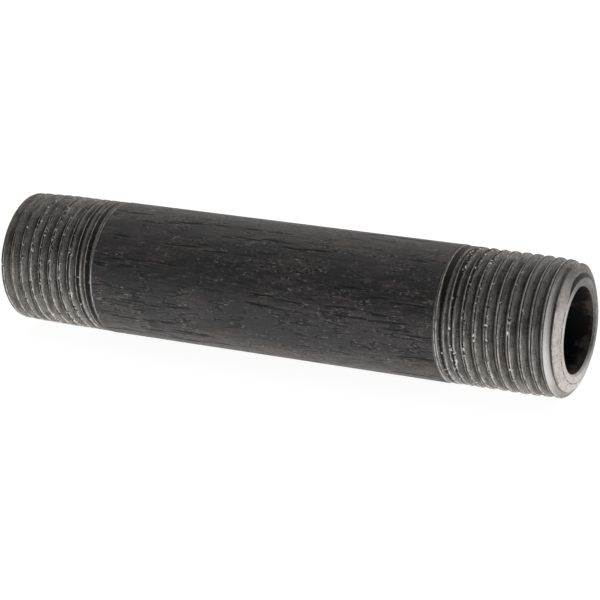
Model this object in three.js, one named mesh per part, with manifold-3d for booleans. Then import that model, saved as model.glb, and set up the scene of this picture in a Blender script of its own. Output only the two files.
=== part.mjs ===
// Threaded pipe nipple: a short length of heavy-wall steel pipe with a right-hand taper pipe thread cut on each end.
// Units are millimetres. The pipe lies along X, with the origin on its axis at mid-length and +Z up.

import * as THREE from 'three';
import { mergeVertices } from 'three/addons/utils/BufferGeometryUtils.js';
import Module from 'manifold-3d';

// Pipe
const nippleLength = 76.2;
const outsideDiameter = 16.8;
const boreDiameter = 10.5;

// Taper pipe thread, cut by the same die on both ends
const threadsPerInch = 18;
const taperOnDiameter = 1 / 16;
const flankAngle = 30;            // degrees, each side of the groove
const rootFlat = 0.1;             // width of the groove's floor along the pipe
const crestFlat = 0.3;            // width of steel left between two turns of the groove
const plusThreadLength = 15.4;    // end face to the shoulder, on the +X end
const minusThreadLength = 14.4;   // the same, on the -X end
const runOutLength = 4.9;         // last part of the thread, where the groove fades out
const runOutLift = 0.1;           // how far the tool stands clear of the steel at the shoulder
const turnedDepth = 0.05;         // skin turned off the pipe before threading, on the radius
const endCrestDrop = 0.22;        // how far the crests at the end face lie below the barrel, on the radius
const plusEndPhase = 44;          // degrees round the pipe, where the groove meets the +X end face
const minusEndPhase = 58;         // degrees, the same for the -X end

// End faces
const faceWidth = 0.8;            // flat ring left between the two chamfers
const boreChamfer = 0.25;
const endChamferLength = 0.75;    // along the pipe

// Faceting
const segments = 28;              // flats round the pipe and sections in each turn of the groove
const leadInTurns = 1.3;          // how far the tool path starts outside the end face, in turns
const turnGap = 0.014;            // gap left between the tool's own turns above the crests

const pitch = 25.4 / threadsPerInch;
const flankSlope = Math.tan(THREE.MathUtils.degToRad(flankAngle));
const threadDepth = (pitch - rootFlat - crestFlat) / 2 / flankSlope;
const taperOnRadius = taperOnDiameter / 2;
const barrelRadius = outsideDiameter / 2;
const boreRadius = boreDiameter / 2;
const turnedRadius = barrelRadius - turnedDepth;
const halfLength = nippleLength / 2;
const faceOuterRadius = boreRadius + boreChamfer + faceWidth;

// Radius of the turned blank at a distance from its end face: a taper that runs into a straight stretch.
function crestRadius(fromEnd) {
  const taper = barrelRadius - endCrestDrop + taperOnRadius * fromEnd;
  return Math.min(taper, turnedRadius);
}

// Radius of the groove's floor. It follows the crests, then climbs out of the steel over the run-out.
function rootRadius(fromEnd, threadLength) {
  const fullThread = threadLength - runOutLength;
  const runOut = Math.max(0, (fromEnd - fullThread) / runOutLength);
  return crestRadius(fromEnd) - threadDepth + (threadDepth + runOutLift) * runOut ** 2;
}

// Outline of one end of the blank, from the bore to the barrel, as (radius, distance from the end face).
function endOutline(threadLength) {
  const taperEnd = (endCrestDrop - turnedDepth) / taperOnRadius;
  return [
    [boreRadius, boreChamfer],
    [boreRadius + boreChamfer, 0],
    [faceOuterRadius, 0],
    [crestRadius(endChamferLength), endChamferLength],
    [turnedRadius, taperEnd],
    [turnedRadius, threadLength - turnedDepth],
    [barrelRadius, threadLength],
  ];
}

// The blank: one closed outline turned about the pipe's axis.
function blankGeometry() {
  const plusEnd = endOutline(plusThreadLength)
    .map(([radius, fromEnd]) => new THREE.Vector2(radius, halfLength - fromEnd));
  const minusEnd = endOutline(minusThreadLength)
    .map(([radius, fromEnd]) => new THREE.Vector2(radius, fromEnd - halfLength));
  const profile = [...minusEnd, ...plusEnd.reverse()];
  profile.push(profile[0].clone());
  const geometry = new THREE.LatheGeometry(profile, segments);
  geometry.rotateZ(-Math.PI / 2);
  return geometry;
}

// The groove's tool path: a V section carried along a right-hand taper helix on the +X end.
function grooveGeometry(phaseDegrees, threadLength) {
  const phase = THREE.MathUtils.degToRad(phaseDegrees);
  const topHalfWidth = pitch / 2 - turnGap / 2;
  const toolHeight = (topHalfWidth - rootFlat / 2) / flankSlope;
  const leadIn = leadInTurns * pitch;
  const anglePerSection = 2 * Math.PI / segments;
  const angleAt = (fromEnd) => phase - 2 * Math.PI * fromEnd / pitch;
  const first = Math.floor(angleAt(threadLength) / anglePerSection);
  const last = Math.ceil(angleAt(-leadIn) / anglePerSection);

  const vertices = [];
  for (let section = first; section <= last; section++) {
    const angle = section * anglePerSection;
    const fromEnd = (phase - angle) * pitch / (2 * Math.PI);
    const floor = rootRadius(fromEnd, threadLength);
    const corners = [
      [-rootFlat / 2, floor],
      [rootFlat / 2, floor],
      [topHalfWidth, floor + toolHeight],
      [-topHalfWidth, floor + toolHeight],
    ];
    for (const [along, radius] of corners) {
      vertices.push(halfLength - fromEnd + along, radius * Math.cos(angle), radius * Math.sin(angle));
    }
  }
  return sweptSolid(vertices, last - first + 1, 4);
}

// Closed mesh through rings of points: side walls between neighbouring rings, and a cap at each end.
function sweptSolid(vertices, ringCount, ringSize) {
  const triangles = [];
  for (let ring = 0; ring < ringCount - 1; ring++) {
    for (let side = 0; side < ringSize; side++) {
      const a = ring * ringSize + side;
      const b = ring * ringSize + (side + 1) % ringSize;
      triangles.push(a, b, a + ringSize, b, b + ringSize, a + ringSize);
    }
  }
  const lastRing = (ringCount - 1) * ringSize;
  for (let side = 1; side < ringSize - 1; side++) {
    triangles.push(0, side + 1, side);
    triangles.push(lastRing, lastRing + side, lastRing + side + 1);
  }
  const geometry = new THREE.BufferGeometry();
  geometry.setAttribute('position', new THREE.Float32BufferAttribute(vertices, 3));
  geometry.setIndex(triangles);
  return geometry;
}

// A closed three.js geometry as a manifold-3d solid.
function toSolid(wasm, geometry) {
  const bare = geometry.clone();
  bare.deleteAttribute('normal');
  bare.deleteAttribute('uv');
  const merged = mergeVertices(bare, 1e-5);
  const vertProperties = new Float32Array(merged.attributes.position.array);
  const triVerts = new Uint32Array(merged.index.array);
  return new wasm.Manifold(new wasm.Mesh({ numProp: 3, vertProperties, triVerts }));
}

// A manifold-3d solid back as a three.js geometry.
function toGeometry(solid) {
  const mesh = solid.getMesh();
  const geometry = new THREE.BufferGeometry();
  geometry.setAttribute('position', new THREE.BufferAttribute(mesh.vertProperties, 3));
  geometry.setIndex(new THREE.BufferAttribute(mesh.triVerts, 1));
  geometry.computeVertexNormals();
  return geometry;
}

// The nipple: the blank with one groove cut in each end. Half a turn about Z carries the cut to the -X end.
function nippleMesh(wasm) {
  const plusGroove = grooveGeometry(plusEndPhase, plusThreadLength);
  const minusGroove = grooveGeometry(minusEndPhase, minusThreadLength).rotateZ(Math.PI);
  const threaded = toSolid(wasm, blankGeometry())
    .subtract(toSolid(wasm, plusGroove))
    .subtract(toSolid(wasm, minusGroove));
  const blackSteel = new THREE.MeshStandardMaterial({ color: 0x37363a, roughness: 0.55, metalness: 0.8 });
  const mesh = new THREE.Mesh(toGeometry(threaded), blackSteel);
  mesh.name = 'pipe_nipple';
  return mesh;
}

const wasm = await Module();
wasm.setup();

const nipple = new THREE.Group();
nipple.add(nippleMesh(wasm));

export default nipple;
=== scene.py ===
import math

import bpy
import numpy as np
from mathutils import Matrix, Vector


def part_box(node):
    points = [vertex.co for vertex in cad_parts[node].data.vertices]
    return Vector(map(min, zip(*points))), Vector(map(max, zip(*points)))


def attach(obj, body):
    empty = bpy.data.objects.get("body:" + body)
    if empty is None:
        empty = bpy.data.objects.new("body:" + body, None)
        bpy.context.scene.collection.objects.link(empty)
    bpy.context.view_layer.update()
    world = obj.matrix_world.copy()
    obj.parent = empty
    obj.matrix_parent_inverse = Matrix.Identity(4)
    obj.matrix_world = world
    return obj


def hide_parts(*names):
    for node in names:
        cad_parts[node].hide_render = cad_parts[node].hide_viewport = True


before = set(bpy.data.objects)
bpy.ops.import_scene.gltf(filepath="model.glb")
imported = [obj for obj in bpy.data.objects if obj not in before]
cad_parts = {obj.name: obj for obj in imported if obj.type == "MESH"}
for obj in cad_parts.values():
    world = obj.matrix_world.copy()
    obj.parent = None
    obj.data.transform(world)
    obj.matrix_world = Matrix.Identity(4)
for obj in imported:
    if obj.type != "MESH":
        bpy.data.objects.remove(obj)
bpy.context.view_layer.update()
pipeLow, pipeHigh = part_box("pipe_nipple")

mm = 0.001
halfLength = (pipeHigh.x - pipeLow.x) / 2 / mm     # lengths are in millimetres until the mesh is made
barrelRadius = (pipeHigh.z - pipeLow.z) / 2 / mm


# Camera

viewSettings = {
    "azimuth": 26.578,      # degrees, from -Y towards +X
    "elevation": 16.311,
    "distance": 297.99,
    "aim": (1.119, 0.417, -1.202),
    "lens": 143.79,
    "sensor": 36.0,
    "clip": (0.01, 20),     # metres
}


def directionTo(azimuth, elevation):
    a, e = math.radians(azimuth), math.radians(elevation)
    return Vector((math.sin(a) * math.cos(e), -math.cos(a) * math.cos(e), math.sin(e)))


toCamera = directionTo(viewSettings["azimuth"], viewSettings["elevation"])


def makeCamera(s):
    data = bpy.data.cameras.new("camera")
    data.lens, data.sensor_width = s["lens"], s["sensor"]
    data.clip_start, data.clip_end = s["clip"]
    camera = bpy.data.objects.new("camera", data)
    bpy.context.scene.collection.objects.link(camera)
    camera.location = (Vector(s["aim"]) + toCamera * s["distance"]) * mm
    camera.rotation_euler = toCamera.to_track_quat("Z", "Y").to_euler()
    bpy.context.scene.camera = camera


makeCamera(viewSettings)
print("camera placed")


# Shader arithmetic

class Wire:  # one output socket; arithmetic on it adds Math nodes
    def __init__(self, shader, socket):
        self.shader, self.socket = shader, socket

    def __add__(self, other):
        return self.shader.math("ADD", self, other)

    def __sub__(self, other):
        return self.shader.math("SUBTRACT", self, other)

    def __rsub__(self, other):
        return self.shader.math("SUBTRACT", other, self)

    def __mul__(self, other):
        return self.shader.math("MULTIPLY", self, other)

    def __truediv__(self, other):
        return self.shader.math("DIVIDE", self, other)


class Shader:  # a node tree, filled by its methods
    def __init__(self, tree):
        self.tree = tree
        tree.nodes.clear()

    def node(self, kind, settings=None, sockets=None, output=0):
        made = self.tree.nodes.new(kind)
        for name, value in (settings or {}).items():
            setattr(made, name, value)
        for name, value in (sockets or {}).items():
            if isinstance(value, Wire):
                self.tree.links.new(value.socket, made.inputs[name])
            else:
                made.inputs[name].default_value = value
        return Wire(self, made.outputs[output]) if made.outputs else None

    def math(self, operation, *values):
        return self.node("ShaderNodeMath", {"operation": operation}, dict(enumerate(values)))

    def most(self, first, second):
        return self.math("MAXIMUM", first, second)

    def step(self, value, low, high, lowest=0.0, highest=1.0):
        # smooth change from lowest to highest while value goes from low to high
        sockets = {0: value, 1: low, 2: high, 3: lowest, 4: highest}
        return self.node("ShaderNodeMapRange", {"interpolation_type": "SMOOTHSTEP"}, sockets)

    def mix(self, factor, first, second):
        # a Mix node's colours are its sockets 6 and 7, and its colour output is number 2
        return self.node("ShaderNodeMix", {"data_type": "RGBA"}, {0: factor, 6: first, 7: second}, 2)

    def mark(self, name):
        return self.node("ShaderNodeAttribute", {"attribute_name": name}, None, "Fac")

    def place(self):
        return self.node("ShaderNodeTexCoord", None, None, "Object")

    def part(self, vector, axis):
        return self.node("ShaderNodeSeparateXYZ", None, {0: vector}, axis)

    def reach(self, place):
        # distance from the pipe's axis
        across = self.stretched(place, 0, 1, 1)
        return self.node("ShaderNodeVectorMath", {"operation": "LENGTH"}, {0: across}, "Value")

    def side(self, place, radius, degrees):
        # cosine of the angle round the pipe from this direction
        direction = (0, math.cos(math.radians(degrees)), math.sin(math.radians(degrees)))
        settings = {"operation": "DOT_PRODUCT"}
        return self.node("ShaderNodeVectorMath", settings, {0: place, 1: direction}, "Value") / radius

    def stretched(self, vector, x, y, z):
        settings = {"operation": "MULTIPLY"}
        return self.node("ShaderNodeVectorMath", settings, {0: vector, 1: (x, y, z)})

    def noise(self, vector, scale, detail, roughness, distortion=0.0):
        sockets = {"Vector": vector, "Scale": scale, "Detail": detail}
        sockets.update({"Roughness": roughness, "Distortion": distortion})
        return self.node("ShaderNodeTexNoise", None, sockets)

    def noises(self, place, settings):
        # each is given by its squeeze along x, y and z, then its scale and the rest of its sockets
        return [self.noise(self.stretched(place, *squeeze), *rest) for squeeze, *rest in settings.values()]

    def bump(self, height, distance, strength):
        sockets = {"Height": height, "Distance": distance, "Strength": strength}
        return self.node("ShaderNodeBump", None, sockets)

    def surface(self, sockets):
        made = self.node("ShaderNodeBsdfPrincipled", None, sockets)
        self.node("ShaderNodeOutputMaterial", None, {"Surface": made})


def newMaterial(name):
    material = bpy.data.materials.new(name)
    material.use_nodes = True
    return material, Shader(material.node_tree)


# Floor and light: a pale floor in a bright tent that is dark only round the camera

stageSettings = {
    "floorSize": 6.0,            # metres
    "floorColour": (0.24, 0.24, 0.24, 1),
    "floorGlow": 0.94,
    "floorRoughness": 0.9,
    "tentStrength": 1.0,
    "darkStrength": 0.05,
    "darkFrom": 0.15,            # cosine of the angle to the camera where the tent starts to darken
    "darkTo": 0.60,
    "seenStrength": 1.0,         # what the camera itself sees behind the floor
}


def makeFloor(s):
    half = s["floorSize"] / 2
    mesh = bpy.data.meshes.new("floor")
    corners = [(-half, -half, 0), (half, -half, 0), (half, half, 0), (-half, half, 0)]
    mesh.from_pydata(corners, [], [(0, 1, 2, 3)])
    floor = bpy.data.objects.new("floor", mesh)
    floor.location.z = pipeLow.z
    bpy.context.scene.collection.objects.link(floor)
    material, shader = newMaterial("palePaper")
    shader.surface({
        "Base Color": s["floorColour"],
        "Roughness": s["floorRoughness"],
        "Specular IOR Level": 0.0,
        "Emission Color": (1, 1, 1, 1),
        "Emission Strength": s["floorGlow"],
    })
    mesh.materials.append(material)


def makeTent(s):
    world = bpy.data.worlds.new("tent")
    bpy.context.scene.world = world
    world.use_nodes = True
    shader = Shader(world.node_tree)
    direction = shader.node("ShaderNodeTexCoord", None, None, "Generated")
    sockets = {0: direction, 1: toCamera}
    nearness = shader.node("ShaderNodeVectorMath", {"operation": "DOT_PRODUCT"}, sockets, "Value")
    strength = shader.step(nearness, s["darkFrom"], s["darkTo"], s["tentStrength"], s["darkStrength"])
    seen = shader.node("ShaderNodeLightPath", None, None, "Is Camera Ray")
    strength = strength * (1 - seen) + seen * s["seenStrength"]
    light = shader.node("ShaderNodeBackground", None, {"Strength": strength})
    shader.node("ShaderNodeOutputWorld", None, {"Surface": light})


makeFloor(stageSettings)
makeTent(stageSettings)
bpy.context.scene.view_settings.view_transform = "Standard"
print("floor and tent made")


# The nipple's skin: one closed surface, as columns round the pipe and rows along its outline

endSettings = {
    "boreRadius": 5.25,
    "boreChamfer": 0.25,
    "faceWidth": 0.8,
    "chamferLength": 0.75,
    "boreRows": 14,
    "boreWave": 0.03,
    "boreCells": (24, 9.0),      # cells of its noise round the pipe, and the length of each
}

threadSettings = {
    "pitch": 25.4 / 18,
    "taper": 1 / 32,             # on the radius
    "flankAngle": 30.0,
    "rootFlat": 0.1,
    "crestFlat": 0.3,
    "lengths": {1: 15.4, -1: 14.4},
    "runOutLength": 4.9,
    "runOutLift": 0.1,           # how far above the crest the groove's root ends
    "turnedDepth": 0.05,         # step between the barrel and the straight stretch beside it
    "endCrestDrop": 0.22,        # how much lower than the barrel the crests are at the end face
    "phases": {1: 44.0, -1: 58.0},
    "columns": 256,
    "edgeRound": 0.04,           # half width of the rounding on a crest's edge
    "edgeShare": 0.3,            # the most of a flank that its rounding may take
    "flankRows": (0.28, 0.6),    # shares of a flank's width where it has a row
    "runOutPinch": 0.6,          # how much narrower the flanks get as the groove runs out
    "shallowSide": 120.0,        # degrees round the pipe, where that narrowing is strongest
    "crestEnd": 0.3,             # share of the groove's depth down to which a row counts as crest
}

# eleven rows of each turn, counted from a crest's middle towards the shoulder; 5 and 6 are at the root
crestRows = (0, 1, 10)
nearCrestRows = (0, 1, 2, 9, 10)
outerEdgeRows = (1, 2)
innerEdgeRows = (9, 10)
innerFlankRows = (7, 8, 9, 10)

wearSettings = {
    # a side is a direction and a half width, in degrees round the pipe
    # cells are the cells of a noise round the pipe, and the length of each
    "tearDepth": 0.22,
    "coarseTear": 0.35,
    "coarseCells": (96, 0.7),
    "fineTear": 0.75,
    "fineCells": (230, 0.33),
    "tearFloor": 0.15,           # rougher than this, a crest is torn
    "flankWave": 0.012,
    "waveCells": (120, 0.5),
    "brokenDepth": 0.16,
    "brokenCells": 40,           # each is one pitch long
    "tearShift": 0.05,
    "shiftCells": (200, 0.4),
    "crestWear": 0.008,
    "tornEverywhere": 0.12,
    "tornMost": 1.2,
    "cornerDepth": 0.3,          # how much lower the near end's first turn is on its upper side
    "cornerSide": (75, 62),
    "cornerPlace": 0.9,          # these three are mm from the end face
    "cornerReach": 0.8,
    "cornerStart": 0.4,
    # painted highlight: the side where the flank near the end face is painted bright
    "flankHighlightSide": (178, 50),
    "flankHighlightGrooves": (0.35, 1.45),     # between these mm from the end face a groove's flank gets a painted highlight
    # painted shade: how much less of the crest edge's painted highlight the +X edge gets on the upper side
    "upperEdgeShade": 0.16,
    "upperEdgeShadeSide": (75, 90),
    "upperEdgeShadeBlend": 12,             # degrees
    "freshInGroove": 0.6,        # how fresh the bevel is where the groove cuts it
    "freshLimit": 0.05,          # share of the groove's depth where that starts
}

crestScale = {
    # share of a crest's width that keeps its scale, on each end
    # it goes from its first value to its second in a stretch, mm from the end face
    # patches add to it: degrees round the pipe, half width in degrees, the same two values
    1: {
        "stretch": (7.0, 12.0),
        "share": (0.4, 0.4),
        "patches": [(105, 48, 0.0, 0.55), (215, 50, 0.25, 0.05)],
    },
    -1: {
        "stretch": (3.0, 6.0),
        "share": (0.35, 0.57),
        "patches": [(150, 60, 0.0, 0.1)],
    },
}

tornPatches = [
    # end, mm from its face, degrees round the pipe, half sizes of the same, strength
    (1, 10.6, 96, 2.4, 34, 1.0),
    (1, 7.5, 175, 2.6, 42, 0.6),
    (1, 12.0, 215, 2.0, 45, 0.7),
    (-1, 6.6, 150, 3.2, 60, 1.0),
    (-1, 9.5, 205, 2.2, 40, 0.7),
    (1, 8.0, 320, 3.0, 50, 0.8),
    (-1, 5.0, 330, 2.5, 45, 0.8),
]

barrelSettings = {
    "columns": 512,
    "rows": 52,
    "skinWave": 0.012,
    "coarseCells": (40, 6.0),    # cells of its noise round the pipe, and the length of each
    "fineCells": (150, 2.5),
    "fineShare": 0.6,
    "crackStrings": 95,
    "crackRunIn": 3,             # how far past the far shoulder a string may start
    "cracksInString": (1, 4),    # the second is one more than the most
    "crackLengths": (0.9, 5.5),
    "crackStep": 0.35,
    "crackDrift": 0.0005,        # in turns, at each step
    "crackSlant": 0.0003,        # in turns for each step, the same over a whole split
    "crackStrengths": (0.3, 1.0),
    "crackGaps": (0.6, 1.1),     # from a split's start to the next one's, in its lengths
    "crackShift": 0.005,         # in turns, from one split to the next
    "crackFade": 0.7,            # length at each end over which a split gets shallow
    "crackDepth": 0.09,
    "crackWidth": 0.095,         # half of it, about midway down
    "crackFoot": 1.6,            # where it meets the surface, in half widths
    "lipPlace": 2.2,             # middle of the lifted lip, in half widths
    "lipHeight": 0.012,
}

flatMap = {
    # share of its real length that each stretch of the outline gets on the flat map
    "bevel": 2.0,
    "face": 2.0,
    "thread": 1.7,
    "barrel": 1.0,
    "bore": 0.16,
    "margin": 0.004,             # of the map's width, left free all round
}

sharpAngle = 26                  # degrees between two faces, above which their edge stays sharp
seed = 7                         # other seeds are counted from it
markNames = ("groove", "edge", "crest", "skin", "tear", "fresh", "burnish", "crack", "lip")
faceOuter = endSettings["boreRadius"] + endSettings["boreChamfer"] + endSettings["faceWidth"]
shoulderRadius = barrelRadius - threadSettings["turnedDepth"]
barrelEnds = {end: end * (halfLength - length) for end, length in threadSettings["lengths"].items()}

latticeSettings = {
    "cells": 512,                # along the pipe
    "start": 200,                # the cell at place 0
    "limit": 500,                # the cell at which it starts again from the first
}


def latticeNoise(key, turn, along, cellsRound, cellLength):
    # smooth noise from -1 to 1 that closes round the pipe; turn goes from 0 to 1
    s = latticeSettings
    table = np.random.default_rng(key).uniform(-1, 1, (cellsRound, s["cells"]))
    u = np.mod(turn, 1) * cellsRound
    v = np.mod(along / cellLength + s["start"], s["limit"])
    i, j = np.floor(u).astype(int), np.floor(v).astype(int)
    a, b = u - i, v - j
    a, b = a * a * (3 - 2 * a), b * b * (3 - 2 * b)
    i, k = i % cellsRound, (i + 1) % cellsRound
    low = table[i, j] * (1 - b) + table[i, j + 1] * b
    high = table[k, j] * (1 - b) + table[k, j + 1] * b
    return low * (1 - a) + high * a


class Skin:  # collects points with their marks, and faces with their corners on the flat map
    def __init__(self):
        self.points, self.marks, self.alongs = [], [], []
        self.faces, self.maps, self.finishes = [], [], []

    def ring(self, x, radius, turn, along, **marks):
        first = len(self.points)
        x, radius, turn, along = np.broadcast_arrays(x, radius, turn, along)
        angle = 2 * math.pi * turn
        self.points.extend(np.stack([x, radius * np.cos(angle), radius * np.sin(angle)], -1).tolist())
        self.alongs.extend(along.tolist())
        columns = [np.broadcast_to(marks.get(name, 0.0), x.shape) for name in markNames]
        self.marks.extend(np.stack(columns, -1).tolist())
        return np.arange(first, first + len(x))

    def face(self, corners, turns, finish, lift=(0, 0, 0, 0)):
        # corners that fell together are dropped
        kept = [k for k in reversed(range(len(corners))) if corners[k] != corners[k - 1]]
        if len(kept) > 2:
            self.faces.append([int(corners[k]) for k in kept])
            self.maps.append([(1 - turns[k], self.alongs[corners[k]] + lift[k]) for k in kept])
            self.finishes.append(finish)

    def band(self, first, second, finish, lift=0.0):
        # faces between two rings, of which one may have twice the columns of the other
        n, m = len(first), len(second)
        coarse, fine = (first, second) if n <= m else (second, first)
        for c in range(min(n, m)):
            d = (c + 1) % min(n, m)
            left, right = c / min(n, m), (c + 1) / min(n, m)
            if n == m:
                corners = (first[c], first[d], second[d], second[c])
                self.face(corners, (left, right, right, left), finish, (0, 0, lift, lift))
                continue
            near, middle, far = fine[2 * c], fine[2 * c + 1], fine[(2 * c + 2) % len(fine)]
            corners = [coarse[c], coarse[d], far, middle, near]
            turns = [left, right, right, (left + right) / 2, left]
            for picked in ((0, 3, 4), (0, 1, 3), (1, 2, 3)):
                picked = picked if n < m else picked[::-1]
                self.face([corners[k] for k in picked], [turns[k] for k in picked], finish)


def crestRadius(fromEnd, t):
    taper = barrelRadius - t["endCrestDrop"] + t["taper"] * fromEnd
    return np.minimum(taper, shoulderRadius)


def blankRadius(fromEnd, t, e):
    # the turned blank: the bevel at the end, the taper and the straight stretch before the barrel
    atBevel = crestRadius(e["chamferLength"], t)
    bevel = faceOuter + (atBevel - faceOuter) * fromEnd / e["chamferLength"]
    return np.where(fromEnd < e["chamferLength"], bevel, crestRadius(fromEnd, t))


def grooveRows(end, t):
    # rows that follow the helix: each column's places from the end face, and the groove's radius there
    n, pitch, length = t["columns"], t["pitch"], t["lengths"][end]
    slope = math.tan(math.radians(t["flankAngle"]))
    depth = (pitch - t["rootFlat"] - t["crestFlat"]) / 2 / slope
    first = 0.0 if end > 0 else 0.5
    ownTurn = first + np.arange(n) / n
    direction = ownTurn if end > 0 else 0.5 - ownTurn
    phase = t["phases"][end] / 360
    start = phase - math.ceil(phase - first) - 1 - ownTurn    # centre of the first groove, in pitches
    halfRoot, edge, (low, high) = t["rootFlat"] / 2, t["edgeRound"], t["flankRows"]
    rows = []
    for turn in range(math.ceil(length / pitch) + 4):
        centre = (start + turn) * pitch
        runOut = np.maximum(0, (centre - length + t["runOutLength"]) / t["runOutLength"])
        crest = crestRadius(centre, t)
        root = crest - depth + (depth + t["runOutLift"]) * runOut ** 3
        shallow = 0.5 + 0.5 * np.cos(2 * math.pi * (direction - t["shallowSide"] / 360))
        pinched = slope * (1 - t["runOutPinch"] * np.minimum(runOut, 1) * shallow)
        flank = np.maximum((crest - root) * pinched, edge)
        half, inner = halfRoot + flank, np.minimum(edge, flank * t["edgeShare"])
        offsets = [
            -0.5 * pitch + 0 * half, -half - edge, -half + inner,
            -halfRoot - flank * high, -halfRoot - flank * low, -halfRoot + 0 * half,
            halfRoot + 0 * half, halfRoot + flank * low, halfRoot + flank * high,
            half - inner, half + edge,
        ]
        for number, offset in enumerate(offsets):
            offset = np.clip(offset, -0.5 * pitch, 0.495 * pitch)     # short of the next turn's first row
            cut = root + np.maximum(0, np.abs(offset) - halfRoot) / pinched
            rows.append((centre + offset, cut, centre, 0 * centre + number))
    places, cuts, centres, numbers = np.array(rows).transpose(1, 0, 2)
    return places, cuts, centres, numbers, len(offsets), depth, ownTurn


def degreesAway(turn, direction):
    return np.mod(360 * turn - direction + 180, 360) - 180


def facing(turn, direction, halfWidth):
    # 1 on this side of the pipe, falling to 0 past the half width
    return np.exp(-(degreesAway(turn, direction) / halfWidth) ** 4)


def tornAmount(end, fromEnd, turn, w):
    amount = w["tornEverywhere"] + 0 * fromEnd
    for side, distance, direction, reach, spread, strength in tornPatches:
        if side == end:
            away = degreesAway(turn, direction)
            amount = amount + strength * np.exp(-((fromEnd - distance) / reach) ** 2 - (away / spread) ** 2)
    return np.minimum(amount, w["tornMost"])


def highlightedFlank(end, centres, numbers, turn, w):
    # painted highlight: the last full flank before the near end's face is painted bright on the side where
    # light falls on it
    first, last = w["flankHighlightGrooves"]
    flank = np.isin(numbers, innerFlankRows) * (centres > first) * (centres < last)
    return facing(turn, *w["flankHighlightSide"]) * flank * (end > 0)


def cornerWear(end, fromEnd, turn, w):
    along = np.exp(-((fromEnd - w["cornerPlace"]) / w["cornerReach"]) ** 2)
    along = along * np.clip(fromEnd / w["cornerStart"], 0, 1)
    return w["cornerDepth"] * along * facing(turn, *w["cornerSide"]) * (end > 0)


def crestEdges(end, numbers, turn, w):
    # both edges of a crest, which the finish paints bright, but on the upper side the one towards the +X
    # end gets less of it, a painted shade
    direction, halfWidth = w["upperEdgeShadeSide"]
    past = (halfWidth - np.abs(degreesAway(turn, direction))) / w["upperEdgeShadeBlend"]
    upperShade = w["upperEdgeShade"] * (0.5 + 0.5 * np.tanh(past))
    plusRows, minusRows = (innerEdgeRows, outerEdgeRows) if end > 0 else (outerEdgeRows, innerEdgeRows)
    return np.isin(numbers, minusRows) + np.isin(numbers, plusRows) * (1 - upperShade)


def leftSkin(end, fromEnd, turn):
    # how much of each crest's width still has its scale
    c = crestScale[end]
    share = np.interp(fromEnd, c["stretch"], c["share"])
    for direction, halfWidth, *added in c["patches"]:
        share = share + np.interp(fromEnd, c["stretch"], added) * facing(turn, direction, halfWidth)
    return share


def threadedEnd(skin, end, alongFace, alongShoulder, t, e, w):
    places, cuts, centres, numbers, perTurn, depth, ownTurn = grooveRows(end, t)
    n = t["columns"]
    turn = ownTurn if end > 0 else 0.5 - ownTurn
    shoulder = t["lengths"][end] - t["turnedDepth"]

    # in each column the nearest row is moved onto the bevel's edge
    nearest = np.abs(places - e["chamferLength"]).argmin(0)
    places[nearest, np.arange(n)] = e["chamferLength"]

    wide = turn[None, :] + 0 * places
    key = seed + (0 if end > 0 else 50)
    torn = tornAmount(end, places, wide, w)
    blank = blankRadius(places, t, e) - cornerWear(end, places, wide, w)
    radius = np.minimum(blank, cuts)
    groove = np.clip((blank - radius) / depth, 0, 1)
    crest = np.isin(numbers, crestRows) & (groove < t["crestEnd"])
    nearCrest = np.isin(numbers, nearCrestRows) & (groove < t["crestEnd"])
    rough = w["coarseTear"] * latticeNoise(key, wide, places, *w["coarseCells"])
    rough = rough + w["fineTear"] * latticeNoise(key + 1, wide, places, *w["fineCells"])
    chip = np.clip(rough - w["tearFloor"], 0, 1) * torn * nearCrest
    wave = latticeNoise(key + 2, wide, places, *w["waveCells"]) * w["flankWave"] * torn
    broken = np.clip(latticeNoise(key + 4, wide, centres, w["brokenCells"], t["pitch"]), 0, 1)
    broken = broken * w["brokenDepth"] * torn * nearCrest
    radius = np.minimum(radius - chip * w["tearDepth"] - broken - crest * w["crestWear"] + wave, blank)
    shift = latticeNoise(key + 3, wide, places, *w["shiftCells"]) * w["tearShift"] * torn * crest
    places = np.maximum.accumulate(places + shift)       # a torn crest never passes its neighbour

    flatX = np.clip(places, 0, shoulder)
    flatR = np.where(places <= 0, faceOuter, np.where(places >= shoulder, shoulderRadius, radius))
    along = np.zeros_like(places)
    along[1:] = np.cumsum(np.hypot(np.diff(flatX, axis=0), np.diff(flatR, axis=0)), 0)
    along = alongFace + (alongShoulder - alongFace) * along / along[-1]

    onBevel = places < e["chamferLength"] + 0.01         # with the row on the bevel's edge
    marks = {
        "groove": groove,
        "edge": crestEdges(end, numbers, wide, w),
        "crest": (numbers == 0) * (groove < t["crestEnd"]) * 1.0,
        "tear": chip,
        "fresh": onBevel * np.where(groove < w["freshLimit"], 1, w["freshInGroove"]),
        "burnish": highlightedFlank(end, centres, numbers, wide, w),
        "skin": leftSkin(end, places, wide),
    }

    faceEdge = skin.ring(end * halfLength, faceOuter, turn, alongFace, fresh=1.0)
    shoulderEdge = skin.ring(end * (halfLength - shoulder), shoulderRadius, turn, alongShoulder)
    ids = np.zeros(places.shape, int)
    for j in range(len(places)):
        x = end * (halfLength - places[j])
        made = skin.ring(x, radius[j], turn, along[j], **{name: mark[j] for name, mark in marks.items()})
        ids[j] = np.where(places[j] <= 0, faceEdge, np.where(places[j] >= shoulder, shoulderEdge, made))
    before = np.full(perTurn, faceEdge[0])
    joined = np.concatenate([before, ids[:-perTurn, 0]])     # column 0 once more, one turn further on
    ids = np.column_stack([ids, joined])
    for c in range(n):
        left, right = (c / n, (c + 1) / n) if end > 0 else (1 - c / n, 1 - (c + 1) / n)
        for j in range(len(ids) - 1):
            corners = (ids[j, c], ids[j, c + 1], ids[j + 1, c + 1], ids[j + 1, c])
            skin.face(corners, (left, right, right, left), "cut")
    return faceEdge, shoulderEdge


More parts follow.
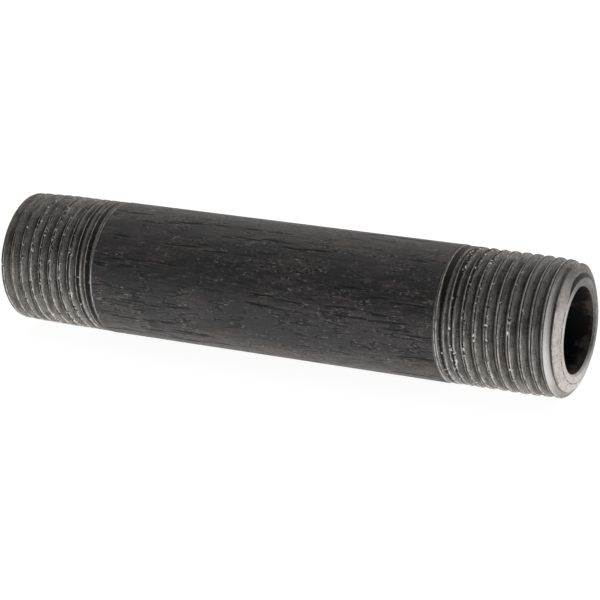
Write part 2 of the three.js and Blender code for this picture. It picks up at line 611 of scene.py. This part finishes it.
def crackLines(b):
    # splits in the scale, nearly along the pipe, in strings: places along the pipe, turns and a strength
    rng = np.random.default_rng(seed + 900)
    lines = []
    for _ in range(b["crackStrings"]):
        x, turn = rng.uniform(barrelEnds[-1] - b["crackRunIn"], barrelEnds[1]), rng.uniform(0, 1)
        for _ in range(rng.integers(*b["cracksInString"])):
            length = rng.uniform(*b["crackLengths"])
            steps = max(3, int(length / b["crackStep"]))
            drift = np.cumsum(rng.normal(0, b["crackDrift"], steps))
            drift = drift + rng.normal(0, b["crackSlant"]) * np.arange(steps)
            strength = rng.uniform(*b["crackStrengths"])
            lines.append((x + np.linspace(0, length, steps), turn + drift, strength))
            x += length * rng.uniform(*b["crackGaps"])
            turn += rng.normal(0, b["crackShift"])
    return lines


def crackMarks(lines, x, turn, b):
    # how deep in a crack each point of a ring lies, and how far on the lifted lip beside it
    crack, lip = np.zeros(len(turn)), np.zeros(len(turn))
    halfWidth = b["crackWidth"] / (2 * math.pi * barrelRadius)
    for places, turns, strength in lines:
        if places[0] < x < places[-1]:
            ends = min(1.0, (x - places[0]) / b["crackFade"], (places[-1] - x) / b["crackFade"])
            away = (np.mod(turn - np.interp(x, places, turns) + 0.5, 1) - 0.5) / halfWidth
            crack = np.maximum(crack, strength * ends * np.clip(b["crackFoot"] - np.abs(away), 0, 1))
            lip = np.maximum(lip, strength * ends * np.clip(1 - np.abs(away - b["lipPlace"]), 0, 1))
    return crack, lip


def barrel(skin, first, last, alongStart, alongEnd, b):
    turn = np.arange(b["columns"]) / b["columns"]
    lines = crackLines(b)
    previous = first
    for row in range(b["rows"] + 1):
        share = row / b["rows"]
        x = barrelEnds[1] + (barrelEnds[-1] - barrelEnds[1]) * share
        coarse = latticeNoise(seed + 20, turn, x + 0 * turn, *b["coarseCells"])
        fine = latticeNoise(seed + 21, turn, x + 0 * turn, *b["fineCells"])
        wave = (coarse + b["fineShare"] * fine) / (1 + b["fineShare"])
        fade = min(1.0, barrelEnds[1] - x, x - barrelEnds[-1])     # over the last millimetre
        crack, lip = crackMarks(lines, x, turn, b)
        sunk = (b["skinWave"] * (1 + wave) / 2 + b["lipHeight"] * (1 - lip)) * fade
        radius = barrelRadius - sunk - b["crackDepth"] * crack
        along = alongStart + (alongEnd - alongStart) * share
        ring = skin.ring(x, radius, turn, along, crack=crack, lip=lip)
        skin.band(previous, ring, "scale")
        previous = ring
    skin.band(previous, last, "scale")


def makeSkin(t, e, w, b, m):
    # stations along the outline on the flat map: rim, face, thread, barrel, thread, face, rim, bore
    bevel, face = e["boreChamfer"] * m["bevel"], e["faceWidth"] * m["face"]
    plusThread, minusThread = [t["lengths"][end] * m["thread"] for end in (1, -1)]
    wall = (barrelEnds[1] - barrelEnds[-1]) * m["barrel"]
    step = t["turnedDepth"]
    boreLength = 2 * (halfLength - e["boreChamfer"])
    bore = boreLength * m["bore"]
    stretches = [bevel, face, plusThread, step, wall, step, minusThread, face, bevel, bore]
    stations = np.concatenate([[0], np.cumsum(stretches)])

    skin = Skin()
    plusFace, plusShoulder = threadedEnd(skin, 1, stations[2], stations[3], t, e, w)
    minusFace, minusShoulder = threadedEnd(skin, -1, stations[7], stations[6], t, e, w)
    # the other end's columns count the other way round the pipe
    minusFace, minusShoulder = [np.roll(ring[::-1], 1) for ring in (minusFace, minusShoulder)]
    barrel(skin, plusShoulder, minusShoulder, stations[4], stations[5], b)

    n = t["columns"]
    turn = np.arange(n) / n
    rim = e["boreRadius"] + e["boreChamfer"]
    rims, throats = {}, {}
    for end, faceRing, rimAt, throatAt in ((1, plusFace, 1, 0), (-1, minusFace, 8, 9)):
        throatX = end * (halfLength - e["boreChamfer"])
        rims[end] = skin.ring(end * halfLength, rim, turn, stations[rimAt], fresh=1.0)
        throats[end] = skin.ring(throatX, e["boreRadius"], turn, stations[throatAt], fresh=1.0)
        if end > 0:
            skin.band(throats[end], rims[end], "cut")
            skin.band(rims[end], faceRing, "cut")
        else:
            skin.band(faceRing, rims[end], "cut")
            skin.band(rims[end], throats[end], "cut")
    previous, rows = throats[-1], e["boreRows"]
    for row in range(1, rows):
        x = -boreLength / 2 + boreLength * row / rows
        wave = latticeNoise(seed + 30, turn, x + 0 * turn, *e["boreCells"]) * e["boreWave"]
        ring = skin.ring(x, e["boreRadius"] + wave, turn, stations[9] + bore * row / rows)
        skin.band(previous, ring, "bore")
        previous = ring
    skin.band(previous, throats[1], "bore", stations[10])
    return skin, stations[10]


def makeNipple(materials):
    skin, mapLength = makeSkin(threadSettings, endSettings, wearSettings, barrelSettings, flatMap)
    used, faces = np.unique(np.concatenate(skin.faces), return_inverse=True)
    points = np.array(skin.points)[used] * mm
    sizes = [len(face) for face in skin.faces]
    faces = [part.tolist() for part in np.split(faces, np.cumsum(sizes)[:-1])]
    mesh = bpy.data.meshes.new("blackSteelNipple")
    mesh.from_pydata(points.tolist(), [], faces)

    marks = np.array(skin.marks)[used]
    for number, name in enumerate(markNames):
        layer = mesh.attributes.new(name, "FLOAT", "POINT")
        layer.data.foreach_set("value", marks[:, number].astype(np.float32))
    corners = np.array([corner for face in skin.maps for corner in face])
    corners[:, 1] /= mapLength
    margin = flatMap["margin"]
    corners = margin + corners * (1 - 2 * margin)
    mesh.uv_layers.new(name="OFBake").data.foreach_set("uv", corners.astype(np.float32).ravel())

    names = list(materials)
    for name in names:
        mesh.materials.append(materials[name])
    mesh.polygons.foreach_set("material_index", [names.index(finish) for finish in skin.finishes])
    mesh.polygons.foreach_set("use_smooth", [True] * len(faces))
    mesh.set_sharp_from_angle(angle=math.radians(sharpAngle))
    mesh.validate()
    nipple = bpy.data.objects.new("pipeNippleSteel", mesh)
    bpy.context.scene.collection.objects.link(nipple)
    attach(nipple, "root")
    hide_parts("pipe_nipple")
    print("nipple made:", len(points), "points,", len(faces), "faces")


# Finishes

cutSettings = {
    "steel": (0.40, 0.37, 0.34, 1),
    "stain": (0.145, 0.126, 0.110, 1),
    "rust": (0.24, 0.172, 0.135, 1),
    "worn": (0.10, 0.086, 0.075, 1),
    # painted light: the next two colours are the bevel and the face lit from the floor below, a painted
    # reflection, and the same surface in painted shade on the upper side
    "fresh": (0.88, 0.82, 0.78, 1),
    "upperShade": (0.13, 0.115, 0.102, 1),
    "skin": (0.020, 0.017, 0.015, 1),
    # painted shade for the groove's root
    "rootShade": (0.045, 0.037, 0.032, 1),
    "bright": (0.92, 0.89, 0.86, 1),
    "metallic": 0.4,
    "roughness": 0.46,
    "bumpHeight": 0.00006,       # widths and heights are in metres here
    "litFromBelowSide": 215.0,          # degrees round the pipe
    "crescentSide": 72.0,
    "crescentWidth": 0.00055,
    "lineWidth": 0.00010,
    "raggedness": 0.00008,
    "innerBlend": (-0.00004, 0.00002),
    "outerBlend": (-0.00004, 0.00003),
    "noises": {
        "streaks": ((5200, 260, 260), 1.0, 3.0, 0.7),     # tool marks, round the pipe
        "blotches": ((300, 420, 420), 1.0, 4.0, 0.65),
        "grain": ((1, 1, 1), 5000, 3.0, 0.7),
        "patches": ((1, 1, 1), 1300, 3.0, 0.6),
        "flakes": ((1, 1, 1), 3200, 1.0, 0.5),
    },
}


def cutFinish(s):
    material, shader = newMaterial("cutSteel")
    place = shader.place()
    radius = shader.reach(place)
    streaks, blotches, grain, patches, flakes = shader.noises(place, s["noises"])
    groove, edge, crest, skin = [shader.mark(name) for name in ("groove", "edge", "crest", "skin")]
    tear, fresh, burnish = [shader.mark(name) for name in ("tear", "fresh", "burnish")]

    stain = shader.step(blotches + (streaks - 0.5) * 1.8 + (grain - 0.5) * 1.5, 0.26, 0.76)
    colour = shader.mix(stain * 0.97, s["steel"], s["stain"])
    rusty = shader.step(blotches + (patches - 0.5) * 0.6, 0.52, 0.68)
    colour = shader.mix(rusty * 0.45, colour, s["rust"])

    # painted light: the bevel and the face are painted lighter on the lower side, a painted reflection of
    # the pale floor, and darker on the upper side, a painted shade
    litFromBelow = shader.step(shader.side(place, radius, s["litFromBelowSide"]), -0.5, 0.6)
    bevelLightAndShade = shader.mix(litFromBelow, s["upperShade"], s["fresh"])
    freshness = fresh + (streaks - 0.5) * 0.6 + (patches - 0.5) * 1.2 + (grain - 0.5) * 2.0
    colour = shader.mix(shader.step(freshness, 0.35, 1.25) * 0.85, colour, bevelLightAndShade)

    # painted shade: the groove's root is painted dark where shade falls in it
    rootShade = shader.step(groove + (grain - 0.5) * 0.2, 0.80, 1.0)
    colour = shader.mix(rootShade * 0.8, colour, s["rootShade"])
    worn = shader.step(groove + (grain - 0.5) * 0.06, 0.02, 0.16, 1.0, 0.0) * (1 - fresh)
    colour = shader.mix(worn * 0.85, colour, s["worn"])
    # partly wear, partly painted highlight: a bright line is painted on the crests' edges
    rim = shader.step(edge, 0.76, 0.98) * shader.step(patches + grain * 0.6, 0.58, 0.95, 0.05, 0.75)
    colour = shader.mix(rim * (1 - fresh), colour, s["bright"])

    # scale left on the crests and in their torn edges
    leftover = shader.step(crest + skin - 1 + (patches - 0.5) * 0.7 + (grain - 0.5) * 0.6, -0.05, 0.14)
    leftover = leftover * (1 - fresh) * shader.step(groove, 0.02, 0.10, 1.0, 0.0)
    torn = shader.step(tear, 0.03, 0.15) * shader.step(flakes, 0.38, 0.48, 0.85, 0.0)
    torn = torn * shader.step(groove, 0.08, 0.30, 1.0, 0.0)

    # scale left outside the face: a crescent at the top and a broken line elsewhere
    crescent = shader.step(shader.side(place, radius, s["crescentSide"]), 0.45, 0.85) * s["crescentWidth"]
    line = shader.step(patches, 0.42, 0.52) * s["lineWidth"]
    outside = radius - faceOuter * mm + (grain - 0.5) * s["raggedness"]
    inside = shader.step(outside, *s["innerBlend"])
    within = shader.step(outside - shader.most(crescent, line), *s["outerBlend"], 1.0, 0.0)

    residue = shader.most(shader.most(leftover, torn), inside * within * fresh)
    colour = shader.mix(residue, colour, s["skin"])
    bright = shader.step(tear, 0.03, 0.14) * shader.step(flakes, 0.54, 0.64)
    # painted highlight on one side of the flank near the end face, besides the torn crests' bare metal
    bright = shader.most(bright, burnish * shader.step(grain + streaks * 0.6, 0.30, 0.75))
    colour = shader.mix(bright, colour, s["bright"])
    height = streaks + grain * 1.2 + patches
    shader.surface({
        "Base Color": colour,
        "Metallic": residue * 0.5 + s["metallic"],
        "Roughness": (grain - 0.5) * 0.3 + s["roughness"],
        "Normal": shader.bump(height, s["bumpHeight"], 1.0),
    })
    return material


scaleSettings = {
    "black": (0.030, 0.030, 0.032, 1),
    "dark": (0.009, 0.009, 0.010, 1),
    "brown": (0.068, 0.047, 0.049, 1),
    "olive": (0.108, 0.086, 0.067, 1),
    "crack": (0.001, 0.001, 0.001, 1),
    "fleck": (0.32, 0.315, 0.31, 1),
    "oliveSides": (92, 243),     # degrees round the pipe
    "bumpHeight": 0.00004,       # metres
    "roughness": 0.5,
    "noises": {
        "patches": ((110, 300, 300), 1.0, 3.0, 0.6, 0.6),
        "oliveShade": ((95, 330, 330), 1.7, 3.0, 0.6),
        "grain": ((420, 3600, 3600), 1.0, 4.0, 0.7),
        "specks": ((1900, 2800, 2800), 1.0, 4.0, 0.75),
        "dust": ((1, 1, 1), 6500, 2.0, 0.7),
        "cluster": ((1, 1, 1), 230, 4.0, 0.65),
        "field": ((190, 1250, 1250), 1.0, 2.0, 0.5, 0.3),
        "swirl": ((1, 1, 1), 520, 1.0, 0.5, 1.6),
    },
}


def scaleFinish(s):
    material, shader = newMaterial("millScale")
    place = shader.place()
    radius = shader.reach(place)
    patches, oliveShade, grain, specks, dust, cluster, field, swirl = shader.noises(place, s["noises"])
    crack, lip = shader.mark("crack"), shader.mark("lip")

    first, second = [shader.step(shader.side(place, radius, side), 0.80, 0.98) for side in s["oliveSides"]]
    oliveShade = oliveShade + shader.most(first, second) * 0.20
    colour = shader.mix(shader.step(patches, 0.49, 0.60) * 0.9, s["black"], s["brown"])
    colour = shader.mix(shader.step(oliveShade, 0.52, 0.70) * 0.85, colour, s["olive"])
    colour = shader.mix(shader.step(grain + (dust - 0.5) * 0.7, 0.38, 0.62, 0.85, 0.0), colour, s["dark"])

    # fine splits follow the level lines of a noise that is drawn out along the pipe
    away = shader.math("ABSOLUTE", field - 0.5)
    present = shader.step(cluster + (grain - 0.5) * 0.5, 0.42, 0.50)
    split = shader.step(away, 0.014, 0.026, 1.0, 0.0) * present
    beside = shader.step(away, 0.018, 0.030) * shader.step(away, 0.040, 0.060, 1.0, 0.0) * present
    fleck = shader.step(specks, 0.57, 0.70) * shader.step(cluster, 0.48, 0.62)
    fleck = shader.most(fleck * 0.75, shader.most(lip, beside) * shader.step(specks, 0.50, 0.62) * 0.6)
    scuff = shader.step(shader.math("ABSOLUTE", swirl - 0.5), 0.003, 0.012, 1.0, 0.0)
    scuff = scuff * shader.step(patches + (specks - 0.5) * 0.8, 0.54, 0.62) * 0.35
    streaks = shader.step(grain, 0.58, 0.78) * shader.step(oliveShade, 0.48, 0.70, 0.10, 0.40)
    colour = shader.mix(shader.most(fleck, shader.most(scuff, streaks)), colour, s["fleck"])
    colour = shader.mix(shader.most(split, shader.step(crack, 0.10, 0.4)), colour, s["crack"])
    height = grain * 1.2 + specks * 0.5 - split * 2.5
    shader.surface({
        "Base Color": colour,
        "Roughness": (grain - 0.5) * 0.5 + s["roughness"],
        "Normal": shader.bump(height, s["bumpHeight"], 0.8),
    })
    return material


boreSettings = {
    "black": (0.010, 0.009, 0.009, 1),
    "rust": (0.05, 0.038, 0.03, 1),
    "mouth": (0.14, 0.115, 0.095, 1),
    "roughness": 0.7,
    "shine": 0.3,
    "noises": {"rust": ((300, 420, 420), 1.0, 4.0, 0.65)},
}


def boreFinish(s):
    material, shader = newMaterial("boreScale")
    place = shader.place()
    [rust] = shader.noises(place, s["noises"])
    fromMiddle = shader.math("ABSOLUTE", shader.part(place, 0))
    colour = shader.mix(shader.step(rust, 0.5, 0.7), s["black"], s["rust"])
    mouth = shader.step(fromMiddle / (halfLength * mm) + (rust - 0.5) * 0.4, 0.95, 1.02)
    colour = shader.mix(mouth * 0.8, colour, s["mouth"])
    shader.surface({
        "Base Color": colour,
        "Roughness": s["roughness"],
        "Specular IOR Level": s["shine"],
    })
    return material


finishes = {
    "cut": cutFinish(cutSettings),
    "scale": scaleFinish(scaleSettings),
    "bore": boreFinish(boreSettings),
}
print("finishes made")
makeNipple(finishes)
